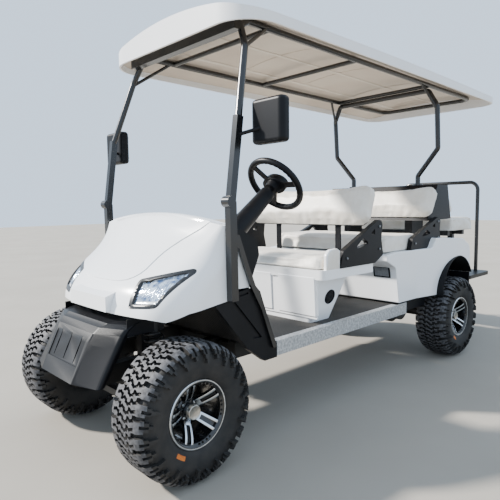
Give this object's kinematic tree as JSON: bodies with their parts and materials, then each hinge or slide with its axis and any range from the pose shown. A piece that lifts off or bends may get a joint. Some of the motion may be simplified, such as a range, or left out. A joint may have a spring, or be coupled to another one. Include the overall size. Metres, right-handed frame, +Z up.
{
  "type": "six seat electric golf cart with long roof",
  "caption": "lifted electric golf cart with a long roof, two forward bench seats, a rear facing seat with a footplate, lugged tyres and split spoke wheels",
  "frame": {"origin": "on the ground under the middle of the overall length and width", "axes": "+X to the driver's side, +Y to the rear, +Z up"},
  "size_m": [1.444, 3.73, 2.0298],
  "materials": {
    "body_white": "gloss",
    "frame_black": "satin",
    "tube_black": "satin",
    "plastic_black": "satin",
    "floor_rubber": "matt",
    "rocker_alu": "brushed",
    "vinyl_white": "satin",
    "roof_white": "satin",
    "roof_lining": "matt",
    "lamp_clear": "clear",
    "tyre_rubber": "matt",
    "rim_alloy": "machined and black",
    "steel_grey": "satin",
    "motor_alu": "matt",
    "battery_case": "matt",
    "plate_dark": "textured"
  },
  "bodies": {
    "cart": {"chassis": "frame_black", "front_subframe": "frame_black", "front_suspension": "frame_black", "steering_rack_housing": "motor_alu", "rear_axle": "frame_black", "drive_motor": "motor_alu", "battery_pack": "battery_case", "floor": "floor_rubber", "kick_panels": "plastic_black", "rockers": "rocker_alu", "cowl": "body_white", "headlamps": "lamp_clear", "nose_panel": "body_white", "bumper": "plastic_black", "dash": "plastic_black", "steering_column": "plastic_black", "pedals": "frame_black", "front_struts": "tube_black", "roof_frame": "tube_black", "roof_shell": "roof_white", "roof_liner": "roof_lining", "rear_struts": "tube_black", "mirrors": "plastic_black", "front_pod": "body_white", "front_back": "vinyl_white", "seat_backing": "plastic_black", "second_cushion": "vinyl_white", "second_back": "vinyl_white", "seat_shell": "plastic_black", "rear_back": "vinyl_white", "side_rails": "tube_black", "rear_body": "body_white", "rear_liner": "plastic_black", "footplate": "plate_dark", "rear_seat_frame": "frame_black", "grab_bar": "tube_black"},
    "front_seat_lid": {"front_cushion": "vinyl_white"},
    "rear_seat_lid": {"rear_cushion": "vinyl_white"},
    "steering_wheel_body": {"steering_wheel": "plastic_black"},
    "rack": {"rack_bar": "steel_grey"},
    "tie_rod_body": {"tie_rod": "steel_grey"},
    "knuckle_left_body": {"knuckle_left": "motor_alu"},
    "knuckle_right_body": {"knuckle_right": "motor_alu"},
    "wheel_front_left": {"tyre_front_left": "tyre_rubber", "rim_front_left": "rim_alloy"},
    "wheel_front_right": {"tyre_front_right": "tyre_rubber", "rim_front_right": "rim_alloy"},
    "wheel_rear_left": {"tyre_rear_left": "tyre_rubber", "rim_rear_left": "rim_alloy"},
    "wheel_rear_right": {"tyre_rear_right": "tyre_rubber", "rim_rear_right": "rim_alloy"}
  },
  "joints": [
    {"name": "steer_left", "type": "hinge", "parent": "cart", "child": "knuckle_left_body", "pos_m": [0.405, -1.535, 0.285], "axis": [0, 0, 1], "range_deg": [-25, 25]},
    {"name": "steer_right", "type": "hinge", "parent": "cart", "child": "knuckle_right_body", "pos_m": [-0.405, -1.535, 0.285], "axis": [0, 0, 1], "range_deg": [-25, 25]},
    {"name": "tie_rod_swing", "type": "hinge", "parent": "knuckle_left_body", "child": "tie_rod_body", "pos_m": [0.335, -1.43, 0.24], "axis": [0, 0, 1], "range_deg": [-31, 31]},
    {"name": "steering_wheel_turn", "type": "hinge", "parent": "cart", "child": "steering_wheel_body", "pos_m": [0.25, -0.738, 1.217], "axis": [0, -0.7804, -0.6252], "range_deg": [-310, 310]},
    {"name": "rack_slide", "type": "slide", "parent": "cart", "child": "rack", "axis": [1, 0, 0], "range_m": [-0.048, 0.048]},
    {"name": "spin_front_left", "type": "hinge", "parent": "knuckle_left_body", "child": "wheel_front_left", "pos_m": [0.473, -1.535, 0.285], "axis": [1, 0, 0], "continuous": true},
    {"name": "spin_front_right", "type": "hinge", "parent": "knuckle_right_body", "child": "wheel_front_right", "pos_m": [-0.473, -1.535, 0.285], "axis": [1, 0, 0], "continuous": true},
    {"name": "spin_rear_left", "type": "hinge", "parent": "cart", "child": "wheel_rear_left", "pos_m": [0.513, 0.832, 0.285], "axis": [1, 0, 0], "continuous": true},
    {"name": "spin_rear_right", "type": "hinge", "parent": "cart", "child": "wheel_rear_right", "pos_m": [-0.513, 0.832, 0.285], "axis": [1, 0, 0], "continuous": true},
    {"name": "front_seat_lift", "type": "hinge", "parent": "cart", "child": "front_seat_lid", "pos_m": [0, -0.248, 0.7653], "axis": [1, 0, 0], "range_deg": [-70, 0]},
    {"name": "rear_seat_tip", "type": "hinge", "parent": "cart", "child": "rear_seat_lid", "pos_m": [0, 1.467, 0.8983], "axis": [1, 0, 0], "range_deg": [-110, 0]}
  ],
  "couplings": [
    {"joint": "steer_right", "follows": "steer_left", "ratio": 1},
    {"joint": "tie_rod_swing", "follows": "steer_left", "ratio": -1.2},
    {"joint": "steering_wheel_turn", "follows": "steer_left", "ratio": 12},
    {"joint": "rack_slide", "follows": "steer_left", "m_per_rad": -0.103}
  ]
}
